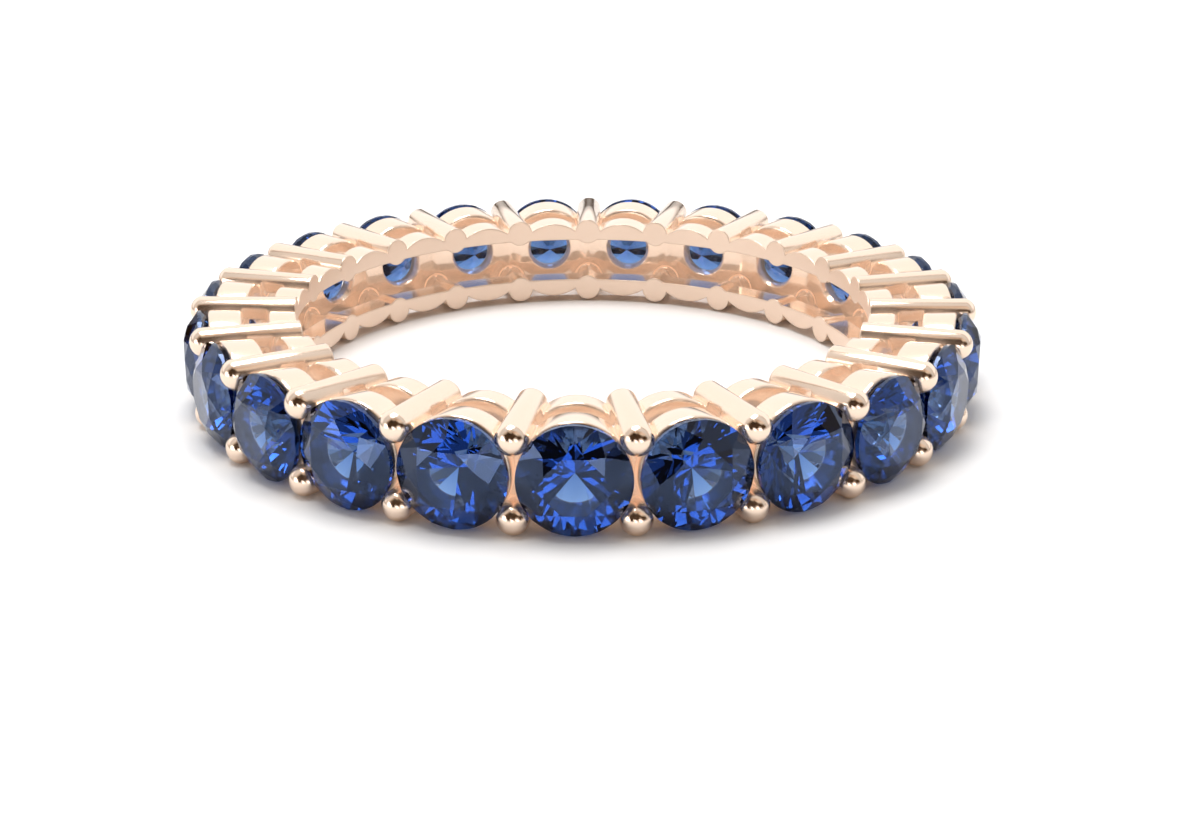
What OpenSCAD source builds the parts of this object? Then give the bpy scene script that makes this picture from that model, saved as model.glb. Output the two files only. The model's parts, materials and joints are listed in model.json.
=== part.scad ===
// Eternity ring: round sapphires all the way round a rose gold band, each in a cone shaped
// collet and held by prongs that it shares with its neighbours.
// The ring lies on its side: the axis of the finger hole is Z, and z = 0 is the surface below.
// Stone 1 faces -Y, and the stones are numbered anticlockwise seen from above.
// A distance along a stone's own axis, from the ring's axis outwards, is called its reach.

/* [Stones] */
// Number of sapphires round the ring
stone_count = 23; // [21:1:25]
// Diameter of a sapphire across its girdle
stone_dia = 2.99; // [2.9:0.01:3.1]
// Gap between neighbouring girdles
stone_gap = 0.14; // [0.11:0.01:0.2]
// Width of the table, corner to corner
table_dia = 1.64; // [1.5:0.02:1.8]
// Diameter through the outer tips of the star facets
star_dia = 2.2; // [2.1:0.02:2.3]
// Diameter through the inner tips of the lower girdle facets
lower_dia = 0.68; // [0.5:0.02:0.9]
// Height of the crown, from the girdle to the table
crown_h = 0.43; // [0.36:0.01:0.5]
// Thickness of the girdle
girdle_t = 0.14; // [0.08:0.01:0.18]
// Depth of the pavilion, from the girdle to the culet
pavilion_h = 1.33; // [1.25:0.01:1.4]
// Clearance between a sapphire and the metal round it
stone_clear = 0.02; // [0.01:0.005:0.03]

/* [Collets] */
// How far a collet's rim stays inside the outline of its stone
rim_in = 0.005; // [0:0.005:0.03]
// Narrowing of a collet towards the finger, in degrees a side
collet_taper = 4.6; // [4:0.1:5]
// Gap kept between neighbouring collets, which the web bridges
collet_gap = 0.03; // [0.02:0.005:0.05]
// Distance from the girdle down to the collet's rim
rim_drop = 0.17; // [0.12:0.01:0.22]
// Thickness of the seat wall, from the rim to the groove
seat_t = 0.97; // [0.85:0.01:1.05]
// Width of the groove round a collet, which is open to the channel
groove_w = 0.78; // [0.65:0.01:0.9]
// Diameter of the hole behind a stone
hole_dia = 1.32; // [1.2:0.01:1.34]
// Widening of that hole where it opens into the channel
hole_flare = 0.1; // [0.05:0.01:0.12]
// Depth of that widening
hole_flare_h = 0.15; // [0.1:0.01:0.2]

/* [Rails] */
// Thickness of the two rails round the finger hole
rail_t = 0.79; // [0.65:0.01:0.9]
// Width of the open channel between the rails
channel_w = 1.44; // [1.42:0.01:1.5]
// Thickness of the web that joins neighbouring collets
web_t = 0.6; // [0.4:0.05:0.8]
// Width of the web across the ring
web_w = 1.9; // [1.7:0.05:2]
// Bevel on the edges of the collets
edge = 0.05; // [0.03:0.005:0.06]

/* [Prongs] */
// Diameter of a prong
prong_dia = 0.85; // [0.8:0.01:0.9]
// How far a prong reaches over the outline of a stone
prong_bite = 0.02; // [0.01:0.005:0.05]
// Lean of a pair of prongs towards each other at the finger, in degrees
prong_lean = 1.45; // [1:0.05:2]
// Height of a prong's straight part above the bottom of the girdle
prong_rise = 0.07; // [0:0.01:0.12]
// Height of the domed bead at the prong's end
bead_h = 0.3; // [0.25:0.01:0.38]
// Gap round a prong where it meets the back of the seat walls
prong_gap = 0.07; // [0.05:0.005:0.09]
// Depth to which that gap goes on into the seat wall
prong_gap_h = 0.18; // [0.1:0.01:0.25]

/* [Hidden] */
round_fn = 96;
// A cut starts this far outside the metal
overlap = 0.02;

// The stones stand side by side on a circle
pitch = 360 / stone_count;
stone_r = stone_dia / 2;
girdle_s = (stone_dia + stone_gap) / 2 / tan(pitch / 2);
crown_s = girdle_s + girdle_t;
culet_s = girdle_s - pavilion_h;

// A brilliant has eight main facets, above and below
mains = 8;
half_main = 180 / mains;
star_h = crown_h * (stone_r - star_dia / 2 * cos(half_main)) / (stone_r - table_dia / 2);
lower_h = pavilion_h * (1 - lower_dia / 2 * cos(half_main) / stone_r);

// Each depth of the band follows on the one outside it
rim_s = girdle_s - rim_drop;
wall_s = rim_s - seat_t;
rail_s = wall_s - groove_w;
bore_r = rail_s - rail_t;

// A prong bites into the outlines of both stones beside it
prong_r = prong_dia / 2;
prong_z = sqrt(pow(stone_r + prong_r - prong_bite, 2) - pow((stone_dia + stone_gap) / 2, 2));
bead_s = girdle_s / cos(pitch / 2) + prong_rise;
dome_r = (prong_r * prong_r + bead_h * bead_h) / (2 * bead_h);
// The ring rests on the foot of its lower beads
mid_z = prong_z + (bead_s - girdle_s) * sin(prong_lean) + prong_r * cos(prong_lean);

// Radius of a collet's cone at a reach
function collet_r(s) = stone_r - rim_in - (rim_s - s) * tan(collet_taper);

// Puts a shape on the axis of stone i: its Z points outwards and its Y up
module at_stone(i) {
    translate([0, 0, mid_z])
        rotate([0, 0, (i - 1) * pitch])
            rotate([90, 0, 0])
                children();
}

// Puts a shape on the axes of the two prongs that follow stone i, with their lean
module at_prongs(i) {
    for (side = [-1, 1])
        at_stone(i + 0.5)
            translate([0, side * prong_z, girdle_s])
                rotate([-side * prong_lean, 0, 0])
                    translate([0, 0, -girdle_s])
                        children();
}

// A turned shape, whose outline is a list of [radius, reach]
module turned(outline) {
    rotate_extrude($fn = round_fn) polygon(outline);
}

// A prism with one flat side behind each stone
module many_sided(side_s, width) {
    corner_r = side_s / cos(pitch / 2);
    translate([0, 0, mid_z - width / 2])
        linear_extrude(height = width)
            polygon([for (i = [1:stone_count])
                corner_r * [cos((i - 0.5) * pitch - 90), sin((i - 0.5) * pitch - 90)]]);
}

// What a stone and the hole behind it take out of the metal
module seat() {
    hole_r = hole_dia / 2;
    seat_r = stone_r + stone_clear;
    below_a = atan(pavilion_h / stone_r);
    above_a = atan(star_h / (stone_r - star_dia / 2));
    tip_s = culet_s - stone_clear / cos(below_a);
    top_s = crown_s + stone_clear / cos(above_a) - stone_clear * tan(above_a);
    turned([
        [0, wall_s - overlap],
        [hole_r + hole_flare, wall_s - overlap],
        [hole_r + hole_flare, wall_s],
        [hole_r, wall_s + hole_flare_h],
        [hole_r, tip_s + hole_r * tan(below_a)],
        [seat_r, tip_s + seat_r * tan(below_a)],
        [seat_r, top_s],
        [0, top_s + seat_r * tan(above_a)]
    ]);
}

// A collet's seat wall, pierced behind the stone
module seat_wall() {
    difference() {
        turned([
            [0, wall_s],
            [collet_r(wall_s) - edge, wall_s],
            [collet_r(wall_s + edge), wall_s + edge],
            [collet_r(rim_s - edge), rim_s - edge],
            [collet_r(rim_s) - edge, rim_s],
            [0, rim_s]
        ]);
        seat();
    }
}

// A collet's two stretches of rail, with the channel between them
module rails() {
    start_s = bore_r * cos(pitch / 2) - edge;
    difference() {
        turned([
            [0, start_s],
            [collet_r(start_s), start_s],
            [collet_r(rail_s - edge), rail_s - edge],
            [collet_r(rail_s) - edge, rail_s],
            [0, rail_s]
        ]);
        translate([-stone_dia, -channel_w / 2, 0]) cube([2 * stone_dia, channel_w, wall_s]);
    }
}

// The room that stone i has between its neighbours
module share(i) {
    far_s = 2 * girdle_s;
    half_w = far_s * tan(pitch / 2);
    rotate([0, 0, (i - 1) * pitch])
        translate([0, -collet_gap / 2 / sin(pitch / 2), 0])
            linear_extrude(height = 2 * mid_z)
                polygon([[0, 0], [-half_w, -far_s], [half_w, -far_s]]);
}

// The web that joins the collets behind their seats, many sided like the channel's back
module web() {
    // It ends inside the seat walls, half way between the hole and the outline
    end_r = (hole_dia / 2 + hole_flare + collet_r(wall_s)) / 2;
    difference() {
        many_sided(wall_s + web_t, web_w);
        many_sided(wall_s, web_w + overlap);
        for (i = [1:stone_count])
            at_stone(i)
                translate([0, 0, wall_s - overlap])
                    cylinder(r = end_r, h = web_t + 2 * overlap, $fn = round_fn);
    }
}

// The gap round a prong where it meets the back of the seat walls
module prong_way() {
    translate([0, 0, wall_s - edge])
        cylinder(r = prong_r + prong_gap, h = edge + prong_gap_h, $fn = round_fn);
}

// One prong with its domed bead, from inside the finger hole outwards
module prong() {
    start_s = bore_r - 4 * overlap;
    intersection() {
        translate([0, 0, start_s])
            cylinder(r = prong_r, h = bead_s + 2 * bead_h - start_s, $fn = round_fn);
        union() {
            translate([0, 0, bead_s + bead_h - dome_r]) sphere(r = dome_r, $fn = round_fn);
            translate([0, 0, start_s - overlap])
                cylinder(r = prong_dia, h = bead_s - start_s, $fn = round_fn);
        }
    }
}

// The two prongs that follow stone i, notched for the stones beside them
module prong_pair(i) {
    difference() {
        at_prongs(i) prong();
        at_stone(i) seat();
        at_stone(i + 1) seat();
    }
}

// The cast band, one solid
module band() {
    color([0.93, 0.75, 0.62])
    difference() {
        union() {
            difference() {
                union() {
                    for (i = [1:stone_count])
                        intersection() {
                            at_stone(i) seat_wall();
                            share(i);
                        }
                    web();
                }
                for (i = [1:stone_count]) at_prongs(i) prong_way();
            }
            for (i = [1:stone_count]) {
                at_stone(i) rails();
                prong_pair(i);
            }
        }
        translate([0, 0, -overlap])
            cylinder(r = bore_r, h = 2 * (mid_z + overlap), $fn = 4 * round_fn);
    }
}

// A round brilliant: table, stars, kites, upper girdle facets, girdle, lower girdle facets, mains
module brilliant() {
    steps = 3;
    arc = half_main / steps;
    count = 2 * mains * steps;
    // A facet's flat face meets the round girdle in a shallow curve
    function bulge(h, tip_dia, j) =
        h * stone_dia / (stone_dia - tip_dia)
        * (cos((j % steps) * arc - half_main / 2) / cos(half_main / 2) - 1);
    function ring(r, a, z) = [r * cos(a), r * sin(a), z];
    first_star = mains;
    first_upper = 2 * mains;
    first_lower = first_upper + count;
    first_tip = first_lower + count;
    culet = first_tip + mains;
    function upper(j) = first_upper + (j + count) % count;
    function lower(j) = first_lower + (j + count) % count;
    function star(k) = first_star + k % mains;
    function tip(k) = first_tip + k % mains;
    points = concat(
        [for (k = [0:mains - 1]) ring(table_dia / 2, (2 * k + 1) * half_main, crown_h + girdle_t)],
        [for (k = [0:mains - 1]) ring(star_dia / 2, 2 * k * half_main, star_h + girdle_t)],
        [for (j = [0:count - 1]) ring(stone_r, j * arc, girdle_t - bulge(star_h, star_dia, j))],
        [for (j = [0:count - 1]) ring(stone_r, j * arc, bulge(lower_h, lower_dia, j))],
        [for (k = [0:mains - 1]) ring(lower_dia / 2, 2 * k * half_main, -lower_h)],
        [[0, 0, -pavilion_h]]
    );
    last = mains - 1;
    faces = concat(
        [[for (k = [last:-1:0]) k]],
        [for (k = [0:last]) [k, star(k), (k + last) % mains]],
        [for (k = [0:last]) [star(k + 1), upper((2 * k + 1) * steps), star(k), k]],
        [for (k = [0:last]) for (side = [0, 1])
            concat([for (j = [steps:-1:0]) upper((2 * k - side) * steps + j)], star(k))],
        [for (j = [0:count - 1]) [upper(j), upper(j + 1), lower(j + 1), lower(j)]],
        [for (k = [0:last]) for (side = [0, 1])
            concat([for (j = [0:steps]) lower((2 * k - side) * steps + j)], tip(k))],
        [for (k = [0:last]) [tip(k), lower((2 * k + 1) * steps), tip(k + 1), culet]]
    );
    polyhedron(points, faces);
}

// One sapphire in its collet
module stone(i) {
    color([0.12, 0.2, 0.62])
        at_stone(i) translate([0, 0, girdle_s]) brilliant();
}

band();
for (i = [1:stone_count])
    stone(i);
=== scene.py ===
import json
from math import acos, cos, pi, radians, sin, sqrt, tan

import bpy
from mathutils import Matrix, Vector


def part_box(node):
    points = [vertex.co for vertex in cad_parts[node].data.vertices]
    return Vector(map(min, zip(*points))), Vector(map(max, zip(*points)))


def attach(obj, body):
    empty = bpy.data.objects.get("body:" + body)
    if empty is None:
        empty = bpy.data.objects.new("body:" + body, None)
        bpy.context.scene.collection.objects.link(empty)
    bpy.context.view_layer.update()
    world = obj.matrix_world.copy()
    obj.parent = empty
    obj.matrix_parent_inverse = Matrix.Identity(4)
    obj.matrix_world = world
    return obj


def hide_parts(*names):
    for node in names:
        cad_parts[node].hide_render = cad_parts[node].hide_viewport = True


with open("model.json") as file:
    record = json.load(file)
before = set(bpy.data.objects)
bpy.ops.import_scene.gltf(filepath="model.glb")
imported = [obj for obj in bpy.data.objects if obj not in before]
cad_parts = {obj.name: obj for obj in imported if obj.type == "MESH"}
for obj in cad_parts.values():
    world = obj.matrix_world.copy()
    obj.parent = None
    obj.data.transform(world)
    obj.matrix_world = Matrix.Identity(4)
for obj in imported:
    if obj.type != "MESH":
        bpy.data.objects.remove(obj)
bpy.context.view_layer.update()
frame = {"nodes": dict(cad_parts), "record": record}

# Sapphires: round brilliants of 3 mm, sawn, rounded and then cut and polished facet by facet.
# Each lies loose in its collet, held by the four beads round it. Their solids have the real
# facets, so they stay, and get the material of a clear blue stone.
STONES = [name for name in frame["nodes"] if name.startswith("stone_")]
SAPPHIRE_CLEAR = (0.90, 0.95, 1.0, 1.0)
SAPPHIRE_ZONED = (0.70, 0.82, 1.0, 1.0)
SAPPHIRE_BLUE = (0.40, 0.58, 0.80, 1.0)
SAPPHIRE_DENSITY = 2000.0
SAPPHIRE_SHEEN = (0.40, 0.56, 1.0, 1.0)
SAPPHIRE_IOR = 1.77
ZONE_SCALE = 420.0
POLISH_SCALE = 6 * ZONE_SCALE
POLISH_HAZE = 0.01


class Shade:
    """A socket of a material's nodes that takes part in plain arithmetic."""

    def __init__(self, tree, socket):
        self.tree = tree
        self.socket = socket

    def add(self, kind, settings, sockets, result=0):
        """Adds a node, gives it its settings or colour stops, then its sockets' values or links."""
        node = self.tree.nodes.new(kind)
        for name, value in settings.items():
            if name == "stops":
                for place, colour in value[1:-1]:
                    node.color_ramp.elements.new(place)
                for stop, (place, colour) in zip(node.color_ramp.elements, value):
                    stop.position = place
                    stop.color = colour
            else:
                setattr(node, name, value)
        for name, value in sockets.items():
            if isinstance(value, Shade):
                self.tree.links.new(value.socket, node.inputs[name])
            else:
                node.inputs[name].default_value = value
        return Shade(self.tree, node.outputs[result])

    def combine(self, operation, *values):
        """The result of a math node on these values."""
        return self.add("ShaderNodeMath", {"operation": operation}, dict(enumerate(values)))

    def __add__(self, other):
        return self.combine("ADD", self, other)

    def __radd__(self, other):
        return self.combine("ADD", other, self)

    def __sub__(self, other):
        return self.combine("SUBTRACT", self, other)

    def __rsub__(self, other):
        return self.combine("SUBTRACT", other, self)

    def __mul__(self, other):
        return self.combine("MULTIPLY", self, other)

    def blend(self, low, high):
        """A colour between low and high, by this value."""
        return self.add(
            "ShaderNodeMix", {"data_type": "RGBA"}, {0: self, 6: low, 7: high}, result=2
        )


def new_material(name):
    """A material with a Principled shader, and a Shade that reads the object's own coordinates."""
    material = bpy.data.materials.new(name)
    material.use_nodes = True
    tree = material.node_tree
    place = Shade(tree, tree.nodes.new("ShaderNodeTexCoord").outputs["Object"])
    return material, tree.nodes["Principled BSDF"], place


def noise(place, scale, detail=2.0):
    """A cloudy pattern of values from 0 to 1."""
    return place.add(
        "ShaderNodeTexNoise",
        {"noise_dimensions": "3D"},
        {"Vector": place, "Scale": scale, "Detail": detail},
    )


def feed(shader, name, value):
    """Gives a socket of a shader a value, or links it to a Shade."""
    if isinstance(value, Shade):
        value.tree.links.new(value.socket, shader.inputs[name])
    else:
        shader.inputs[name].default_value = value


sapphire, stone_shader, place = new_material("blue_sapphire")
colour_zone = noise(place, ZONE_SCALE, detail=1.0)
feed(stone_shader, "Base Color", colour_zone.blend(SAPPHIRE_CLEAR, SAPPHIRE_ZONED))
feed(stone_shader, "Roughness", noise(place, POLISH_SCALE) * POLISH_HAZE)
feed(stone_shader, "IOR", SAPPHIRE_IOR)
feed(stone_shader, "Transmission Weight", 1.0)
feed(stone_shader, "Specular Tint", SAPPHIRE_SHEEN)
blue_body = sapphire.node_tree.nodes.new("ShaderNodeVolumeAbsorption")
feed(blue_body, "Color", SAPPHIRE_BLUE)
feed(blue_body, "Density", SAPPHIRE_DENSITY)
output = sapphire.node_tree.nodes["Material Output"]
sapphire.node_tree.links.new(blue_body.outputs["Volume"], output.inputs["Volume"])

for name in STONES:
    stone = frame["nodes"][name]
    stone.data.materials.clear()
    stone.data.materials.append(sapphire)

# Collets: one for each stone, turned as a short cone with its axis on the stone's, and pierced
# behind the stone. An open groove parts its seat wall from its two stretches of rail. Cast in 14
# karat rose gold with the channel already open, then rounded a little by filing and polishing.
MM = 0.001
stone_low, stone_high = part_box("stone_1")
PITCH = 2 * pi / len(STONES)
MID_Z = (stone_low.z + stone_high.z) / 2
BORE_R = frame["record"]["mounts"][0]["dims"]["r_mm"] * MM
STONE_R = (stone_high.x - stone_low.x) / 2
CULET_S = -stone_high.y
PAVILION_H = 1.33 * MM
GIRDLE_T = 0.14 * MM
GIRDLE_S = CULET_S + PAVILION_H
SEAT_CLEAR = 0.02 * MM
CROWN_SLOPE = 0.775
RIM_DROP = 0.17 * MM
RIM_INSET = 0.005 * MM
WALL_H = 0.97 * MM
GROOVE_W = 0.78 * MM
RIM_S = GIRDLE_S - RIM_DROP
WALL_S = RIM_S - WALL_H
RAIL_S = WALL_S - GROOVE_W
RIM_R = STONE_R - RIM_INSET
TAPER = tan(radians(4.6))
HOLE_R = 0.66 * MM
HOLE_FLARE = 0.1 * MM
HOLE_FLARE_H = 0.15 * MM
CHANNEL_W = 1.44 * MM
WEB_T = 0.6 * MM
WEB_W = 1.9 * MM
RAIL_ROUND = 0.12 * MM
WALL_ROUND = 0.10 * MM
OVERLAP = 0.02 * MM
COLLET_SIDES = 96
BORE_SIDES = 16 * len(STONES)
PRONG_SIDES = 40
EASE_STEPS = 4


def collet_r(reach):
    """The radius of the collets' cone at a distance from the ring's axis."""
    return RIM_R - (RIM_S - reach) * TAPER


def eased(corners, width):
    """An outline whose inner corners are rounded over a width."""
    points = [corners[0]]
    for before, corner, after in zip(corners, corners[1:], corners[2:]):
        corner = Vector(corner)
        start = corner + width * (Vector(before) - corner).normalized()
        end = corner + width * (Vector(after) - corner).normalized()
        for step in range(EASE_STEPS + 1):
            share = step / EASE_STEPS
            points.append(start.lerp(corner, share).lerp(corner.lerp(end, share), share))
    return [*points, corners[-1]]


def turned(name, outline, sides):
    """A turned piece on the axis of stone 1, from its outline of (radius, reach)."""
    bpy.ops.object.select_all(action="DESELECT")
    radius, reach = outline[0]
    bpy.ops.mesh.primitive_circle_add(
        vertices=sides,
        radius=radius,
        fill_type="NGON",
        location=(0, -reach, MID_Z),
        rotation=(pi / 2, 0, 0),
    )
    piece = bpy.context.object
    piece.name = name
    bpy.ops.object.transform_apply()
    bpy.ops.object.mode_set(mode="EDIT")
    bpy.ops.mesh.select_all(action="SELECT")
    for next_radius, next_reach in outline[1:]:
        move = (0, reach - next_reach, 0)
        bpy.ops.mesh.extrude_region_move(TRANSFORM_OT_translate={"value": move})
        growth = next_radius / radius
        bpy.ops.transform.resize(
            value=(growth, 1, growth), center_override=(0, -next_reach, MID_Z)
        )
        radius, reach = next_radius, next_reach
    bpy.ops.mesh.select_all(action="SELECT")
    bpy.ops.mesh.normals_make_consistent(inside=False)
    bpy.ops.object.mode_set(mode="OBJECT")
    return piece


def join_in(piece, tool, operation):
    """Cuts a tool out of a piece, or adds it to the piece."""
    bpy.context.view_layer.objects.active = piece
    change = piece.modifiers.new("change", "BOOLEAN")
    change.operation = operation
    change.solver = "EXACT"
    change.object = tool
    bpy.ops.object.modifier_apply(modifier=change.name)
    bpy.data.objects.remove(tool)


def cut(piece, tool):
    join_in(piece, tool, "DIFFERENCE")


def on_axis(piece, turn):
    """Moves a piece from the axis of stone 1 to that of a stone so many places on."""
    piece.rotation_euler.z = turn * PITCH
    bpy.ops.object.transform_apply()
    return piece


def seat_cutter(turn):
    """What a stone, with its clearance, and the hole behind it take out."""
    below = PAVILION_H / STONE_R
    tip_s = CULET_S - SEAT_CLEAR * sqrt(1 + below * below)
    seat_r = STONE_R + SEAT_CLEAR
    crown_clear = SEAT_CLEAR * (sqrt(1 + CROWN_SLOPE * CROWN_SLOPE) - CROWN_SLOPE)
    top_s = GIRDLE_S + GIRDLE_T + crown_clear
    flare = eased(
        [
            (HOLE_R + HOLE_FLARE, WALL_S - OVERLAP),
            (HOLE_R + HOLE_FLARE, WALL_S),
            (HOLE_R, WALL_S + HOLE_FLARE_H),
            (HOLE_R, WALL_S + 2 * HOLE_FLARE_H),
        ],
        OVERLAP,
    )
    outline = [
        *flare[:-1],
        (HOLE_R, tip_s + HOLE_R * below),
        (seat_r, tip_s + seat_r * below),
        (seat_r, top_s),
        (seat_r / 2, top_s + seat_r / 2 * CROWN_SLOPE),
    ]
    return on_axis(turned("seat_cutter", outline, COLLET_SIDES), turn)


def block(name, low, high):
    """A block between two corners."""
    bpy.ops.object.select_all(action="DESELECT")
    centre = [(a + b) / 2 for a, b in zip(low, high)]
    size = [b - a for a, b in zip(low, high)]
    bpy.ops.mesh.primitive_cube_add(size=1, location=centre, scale=size)
    piece = bpy.context.object
    piece.name = name
    bpy.ops.object.transform_apply()
    return piece


START_S = BORE_R * cos(PITCH / 2) - 2 * RAIL_ROUND
rail_outline = [(collet_r(START_S), START_S), (collet_r(RAIL_S), RAIL_S), (HOLE_R, RAIL_S)]
wall_outline = [
    (HOLE_R, WALL_S),
    (collet_r(WALL_S), WALL_S),
    (collet_r(RIM_S), RIM_S),
    (HOLE_R, RIM_S),
]
rails = turned("rails", eased(rail_outline, RAIL_ROUND), COLLET_SIDES)
half_channel = CHANNEL_W / 2
channel_low = (-RIM_R, -WALL_S, MID_Z - half_channel)
channel_high = (RIM_R, 0, MID_Z + half_channel)
cut(rails, block("channel", channel_low, channel_high))
cell = turned("cell", eased(wall_outline, WALL_ROUND), COLLET_SIDES)

# Web: the thin wall between two collets behind the girdles, with a flat side behind each stone
# as the channel's back. It reaches past one stone's share of the band, and is cut off with it.
web = block(
    "web",
    (-WALL_S * tan(PITCH), -WALL_S - WEB_T, MID_Z - WEB_W / 2),
    (WALL_S * tan(PITCH), -WALL_S, MID_Z + WEB_W / 2),
)
join_in(cell, web, "UNION")

# Prongs: straight round wires that two stones share, one above and one below, from the finger
# hole out to a domed bead. Each is cast with the collets, notched for the two girdles and
# burnished over them. The grooves bite into it, and it has a small gap at the seat walls' backs.
PRONG_R = 0.425 * MM
PRONG_BITE = 0.02 * MM
PRONG_LEAN = radians(1.45)
PRONG_RISE = 0.07 * MM
BEAD_H = 0.3 * MM
GROOVE_OVER = 0.17 * MM
GROOVE_SLOPE = 0.1 * MM
GROOVE_CLEAR = 0.005 * MM
WAY_GAP = 0.07 * MM
WAY_H = 0.18 * MM
DOME_STEPS = 9
TIP_SHARE = 0.25
half_pitch_w = GIRDLE_S * tan(PITCH / 2)
PRONG_Z = sqrt((STONE_R + PRONG_R - PRONG_BITE) ** 2 - half_pitch_w**2)
BEAD_S = GIRDLE_S / cos(PITCH / 2) + PRONG_RISE


def on_prong(piece, side, turn):
    """Moves a piece from the axis of stone 1 to that of a prong beside it."""
    to_pivot = Vector((0, GIRDLE_S, -MID_Z))
    piece.matrix_world = (
        Matrix.Rotation(turn * PITCH / 2, 4, "Z")
        @ Matrix.Translation(Vector((0, 0, side * PRONG_Z)) - to_pivot)
        @ Matrix.Rotation(-side * PRONG_LEAN, 4, "X")
        @ Matrix.Translation(to_pivot)
    )
    bpy.ops.object.select_all(action="DESELECT")
    piece.select_set(True)
    bpy.context.view_layer.objects.active = piece
    bpy.ops.object.transform_apply()
    return piece


def groove_cutter(turn):
    """What the groove round a collet takes out of the prongs."""
    middle = (RAIL_S + WALL_S) / 2
    rate = (collet_r(middle) + GROOVE_OVER) / middle
    low_s = RAIL_S + GROOVE_CLEAR
    high_s = WALL_S - GROOVE_CLEAR
    corners = [(HOLE_R, low_s), (rate * low_s, low_s), (rate * high_s, high_s), (HOLE_R, high_s)]
    return on_axis(turned("groove_cutter", eased(corners, GROOVE_SLOPE), COLLET_SIDES), turn)


dome_r = (PRONG_R**2 + BEAD_H**2) / (2 * BEAD_H)
dome_angle = acos(1 - BEAD_H / dome_r)
prong_outline = [(PRONG_R, START_S)]
for step in range(DOME_STEPS, 0, -1):
    angle = dome_angle * step / DOME_STEPS
    prong_outline.append((dome_r * sin(angle), BEAD_S + BEAD_H - dome_r * (1 - cos(angle))))
prong_outline.append((prong_outline[-1][0] * TIP_SHARE, BEAD_S + BEAD_H))

way_outline = [(PRONG_R + WAY_GAP, WALL_S - OVERLAP), (PRONG_R + WAY_GAP, WALL_S + WAY_H)]
prongs = []
for side in (-1, 1):
    for turn in (-1, 1):
        cut(cell, on_prong(turned("prong_way", way_outline, PRONG_SIDES), side, turn))
        prong = on_prong(turned("prong", prong_outline, PRONG_SIDES), side, turn)
        for stone_turn in (0, turn):
            cut(prong, groove_cutter(stone_turn))
        prongs.append(prong)

# Band: the collets, web and prongs are one casting, reamed round for the finger. One stone's
# share is cut off half way to the next stones and left open there, so that its copies round the
# ring merge into one skin.
CUT_NEAR = 0.00001 * MM
MERGE = 0.000015 * MM
SMOOTH_ANGLE = radians(35)


def own_share(piece):
    """Keeps what lies between the planes half way to the next stones."""
    bpy.ops.object.select_all(action="DESELECT")
    piece.select_set(True)
    bpy.context.view_layer.objects.active = piece
    bpy.ops.object.mode_set(mode="EDIT")
    for side in (-1, 1):
        bpy.ops.mesh.select_all(action="SELECT")
        bpy.ops.mesh.bisect(
            plane_co=(0, 0, MID_Z),
            plane_no=(side * cos(PITCH / 2), sin(PITCH / 2), 0),
            clear_outer=True,
            threshold=CUT_NEAR,
        )
    bpy.ops.object.mode_set(mode="OBJECT")


join_in(cell, rails, "UNION")
for prong in prongs:
    join_in(cell, prong, "UNION")
for turn in (-1, 0, 1):
    cut(cell, seat_cutter(turn))
bpy.ops.object.select_all(action="DESELECT")
bpy.ops.mesh.primitive_cylinder_add(
    vertices=BORE_SIDES, radius=BORE_R, depth=4 * MID_Z, location=(0, 0, MID_Z)
)
cut(cell, bpy.context.object)
own_share(cell)
shares = [cell]
for turn in range(1, len(STONES)):
    bpy.ops.object.select_all(action="DESELECT")
    cell.select_set(True)
    bpy.context.view_layer.objects.active = cell
    bpy.ops.object.duplicate()
    shares.append(on_axis(bpy.context.object, turn))
bpy.ops.object.select_all(action="DESELECT")
for share in shares:
    share.select_set(True)
bpy.context.view_layer.objects.active = cell
bpy.ops.object.join()
band = cell
band.name = "gold_band"
bpy.ops.object.mode_set(mode="EDIT")
bpy.ops.mesh.select_all(action="SELECT")
bpy.ops.mesh.remove_doubles(threshold=MERGE)
bpy.ops.object.mode_set(mode="OBJECT")
bpy.ops.object.shade_smooth_by_angle(angle=SMOOTH_ANGLE)

# Rose gold: 14 karat, of gold, copper and a little silver, polished to a mirror, with a slight
# drift in colour, a faint haze and the softest of ripples left by the wheel. The finger hole and
# the recesses are satin. The recesses also carry painted light: a faint warm glow where the metal
# is shut in, standing in for light bounced into them.
GOLD_LIGHT = (0.910, 0.730, 0.595, 1.0)
GOLD_WARM = (0.895, 0.700, 0.555, 1.0)
GOLD_PAINTED_BOUNCE_LIGHT = (1.0, 0.76, 0.57, 1.0)
NO_PAINTED_LIGHT = (0.0, 0.0, 0.0, 1.0)
PAINTED_LIGHT_STRENGTH = 0.27
GOLD_EDGE = 0.09 * MM
EDGE_SAMPLES = 4
RECESS_DEPTH = 1.9 * MM
RECESS_SAMPLES = 2
RECESS_START = 0.66
RECESS_FULL = 0.25
DRIFT_SCALE = 300.0
HAZE_SCALE = 2500.0
BORE_SATIN = 0.55
SATIN_DULLS = 0.9
SATIN_ROUGHNESS = 0.45
HAZE_ROUGHNESS = 0.05
MIRROR_ROUGHNESS = 0.06
RIPPLE_STRENGTH = 0.04
RIPPLE_H = 0.01 * MM


def step_at(value, start, full):
    """0 up to a start and 1 from where it is full, with a soft step between."""
    return value.add(
        "ShaderNodeMapRange",
        {"interpolation_type": "SMOOTHSTEP"},
        {"Value": value, "From Min": start, "From Max": full},
    )


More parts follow.
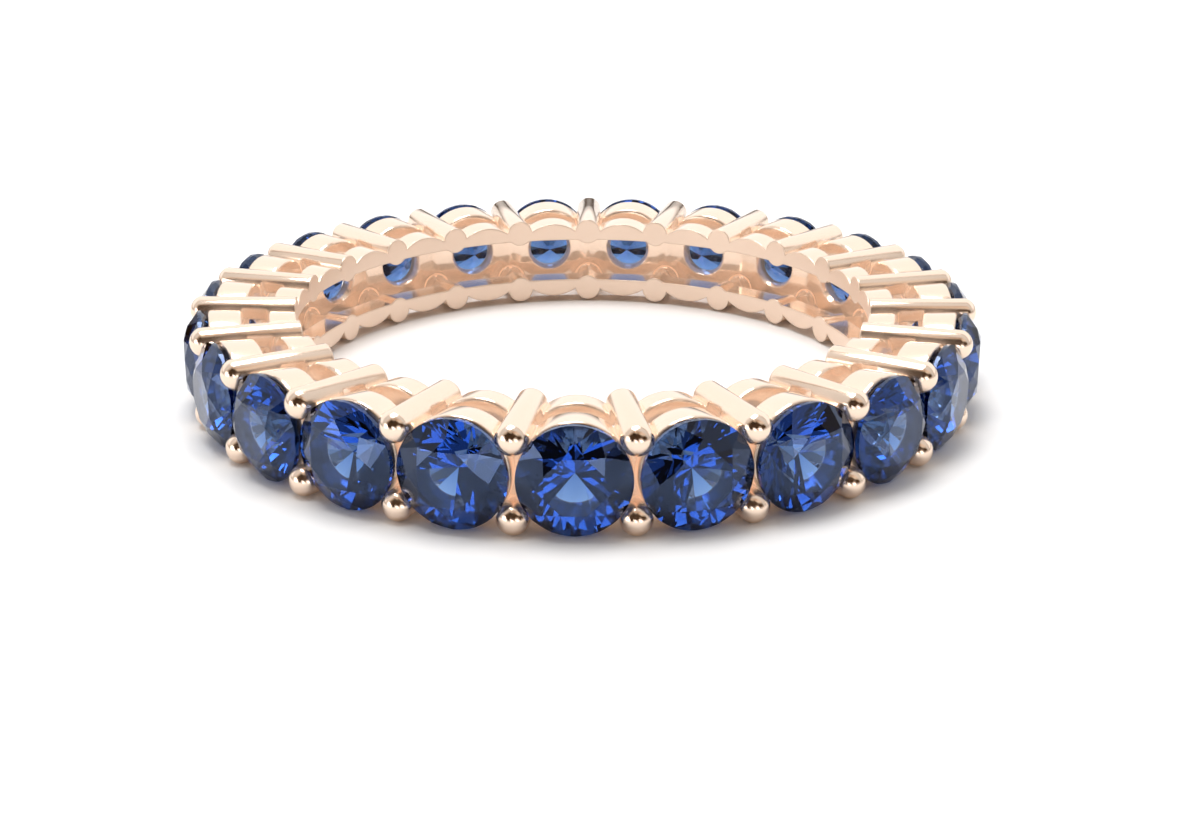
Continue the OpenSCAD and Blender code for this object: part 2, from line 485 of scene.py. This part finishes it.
rose_gold, gold_shader, place = new_material("rose_gold")
drift = noise(place, DRIFT_SCALE)
haze = noise(place, HAZE_SCALE, detail=3.0)
open_air = place.add(
    "ShaderNodeAmbientOcclusion",
    {"samples": RECESS_SAMPLES, "only_local": True},
    {"Distance": RECESS_DEPTH},
    result="AO",
)
# Where the metal is shut in: the mask of the recesses' satin and of their painted light.
recess_painted_light_and_satin = step_at(open_air, RECESS_START, RECESS_FULL)
across = place.add("ShaderNodeVectorMath", {"operation": "MULTIPLY"}, {0: place, 1: (1, 1, 0)})
reach = across.add("ShaderNodeVectorMath", {"operation": "LENGTH"}, {0: across}, result="Value")
bore = reach.add(
    "ShaderNodeMapRange",
    {},
    {"Value": reach, "From Min": BORE_R + 2 * OVERLAP, "From Max": BORE_R + OVERLAP},
)
satin = recess_painted_light_and_satin.combine("MAXIMUM", recess_painted_light_and_satin, bore * BORE_SATIN)
feed(gold_shader, "Base Color", drift.blend(GOLD_LIGHT, GOLD_WARM))
# Painted light: the recesses glow a warm cream, in place of light bounced into them.
feed(gold_shader, "Emission Color", recess_painted_light_and_satin.blend(NO_PAINTED_LIGHT, GOLD_PAINTED_BOUNCE_LIGHT))
feed(gold_shader, "Emission Strength", PAINTED_LIGHT_STRENGTH)
feed(gold_shader, "Metallic", 1.0 - satin * SATIN_DULLS)
roughness = MIRROR_ROUGHNESS + haze * HAZE_ROUGHNESS + satin * SATIN_ROUGHNESS
feed(gold_shader, "Roughness", roughness)
soft_edge = place.add("ShaderNodeBevel", {"samples": EDGE_SAMPLES}, {"Radius": GOLD_EDGE})
ripple = place.add(
    "ShaderNodeBump",
    {},
    {"Strength": RIPPLE_STRENGTH, "Distance": RIPPLE_H, "Height": haze, "Normal": soft_edge},
)
feed(gold_shader, "Normal", ripple)
band.data.materials.clear()
band.data.materials.append(rose_gold)
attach(band, "root")
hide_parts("band")

# Studio: the ring lies on a plain white table under a softbox. The room is white at the back, from
# a tilted edge with a thin brown line. Light and dark panels fill its front, for the stones'
# sparkle, and grey walls between have a dark brown band at the horizon, which lines the metal.
SKY_BACK = (1.0, 1.0, 1.0, 1.0)
SKY_LINE = (0.30, 0.20, 0.13, 1.0)
FRONT_STOPS = [
    (0.00, (0.30, 0.27, 0.24, 1.0)),
    (0.14, (0.48, 0.45, 0.42, 1.0)),
    (0.30, (0.90, 0.90, 0.90, 1.0)),
    (0.43, (0.30, 0.22, 0.16, 1.0)),
    (0.485, (0.040, 0.018, 0.006, 1.0)),
    (0.510, (0.050, 0.022, 0.008, 1.0)),
    (0.530, (0.56, 0.55, 0.54, 1.0)),
    (1.00, (0.66, 0.66, 0.66, 1.0)),
]
SKY_STRENGTH = 1.24
EDGE_TILT = radians(16)
EDGE_HALF = 0.018
PANEL_SCALE = 2.4
PANEL_STOPS = (
    (0.00, (0.02, 0.015, 0.01, 1.0)),
    (0.48, (0.06, 0.035, 0.02, 1.0)),
    (0.54, (0.60, 0.44, 0.32, 1.0)),
    (0.70, (0.75, 0.70, 0.64, 1.0)),
    (0.76, (3.00, 3.00, 3.00, 1.0)),
)
PANELS_FULL = -0.35
PANELS_END = -0.25
HORIZON_TOP = 0.05
SKY_START = 0.15
TABLE_WHITE = (0.90, 0.90, 0.90, 1.0)
TABLE_ROUGHNESS = 0.9
TABLE_W = 0.8
SOFTBOX_W = 0.16
SOFTBOX_H = 0.10
SOFTBOX_ENERGY = 0.48
SOFTBOX_AT = (-0.03, 0.03, 0.26)

bpy.ops.object.select_all(action="DESELECT")
bpy.ops.mesh.primitive_plane_add(size=TABLE_W)
table = bpy.context.object
table.name = "table"
paper, paper_shader, place = new_material("white_table")
feed(paper_shader, "Base Color", TABLE_WHITE)
feed(paper_shader, "Roughness", TABLE_ROUGHNESS)
table.data.materials.append(paper)
table.visible_transmission = False

world = bpy.data.worlds.new("studio")
world.use_nodes = True
tree = world.node_tree
background = tree.nodes["Background"]
way = Shade(tree, tree.nodes.new("ShaderNodeTexCoord").outputs["Generated"])
depth, height = [
    way.add("ShaderNodeSeparateXYZ", {}, {"Vector": way}, result=axis) for axis in ("Y", "Z")
]
past_edge = depth * cos(EDGE_TILT) - height * sin(EDGE_TILT)
front = height.add("ShaderNodeValToRGB", {"stops": FRONT_STOPS}, {"Fac": 0.5 + height * 0.5})
cells = way.add("ShaderNodeTexVoronoi", {}, {"Vector": way, "Scale": PANEL_SCALE}, result="Color")
panels = cells.add("ShaderNodeValToRGB", {"stops": PANEL_STOPS}, {"Fac": cells})
front = step_at(depth, PANELS_FULL, PANELS_END).blend(panels, front)
above = step_at(height, HORIZON_TOP, SKY_START)
edge = step_at(past_edge, -2 * EDGE_HALF, -EDGE_HALF) * above
beyond = step_at(past_edge, EDGE_HALF, 2 * EDGE_HALF) * above
sky = beyond.blend(edge.blend(front, SKY_LINE), SKY_BACK)
tree.links.new(sky.socket, background.inputs["Color"])
background.inputs["Strength"].default_value = SKY_STRENGTH
bpy.context.scene.world = world

lamp = bpy.data.lights.new("softbox", "AREA")
lamp.shape = "RECTANGLE"
lamp.size = SOFTBOX_W
lamp.size_y = SOFTBOX_H
lamp.energy = SOFTBOX_ENERGY
softbox = bpy.data.objects.new("softbox", lamp)
softbox.location = SOFTBOX_AT
softbox.rotation_euler = (-softbox.location).to_track_quat("-Z", "Y").to_euler()
bpy.context.collection.objects.link(softbox)

# Camera: a little above the ring and close, looking down across it, as the photograph was framed.
CAMERA_AROUND = radians(1.137)
CAMERA_UP = radians(18.2555)
CAMERA_FAR = 57.40 * MM
LOOK_DOWN = radians(20.66)
LOOK_ASIDE = radians(0.591)
SENSOR_W = 36.0
LENS_PIXELS = 1866.2
PHOTO_W = 1200

camera = bpy.data.objects.new("camera", bpy.data.cameras.new("camera"))
camera.data.sensor_width = SENSOR_W
camera.data.lens = LENS_PIXELS / PHOTO_W * SENSOR_W
camera.data.clip_start = 1 * MM
camera.location = (
    CAMERA_FAR * cos(CAMERA_UP) * sin(CAMERA_AROUND),
    -CAMERA_FAR * cos(CAMERA_UP) * cos(CAMERA_AROUND),
    MID_Z + CAMERA_FAR * sin(CAMERA_UP),
)
camera.rotation_euler = (pi / 2 - LOOK_DOWN, 0, LOOK_ASIDE)
bpy.context.collection.objects.link(camera)
bpy.context.scene.camera = camera
bpy.context.scene.view_settings.view_transform = "Standard"
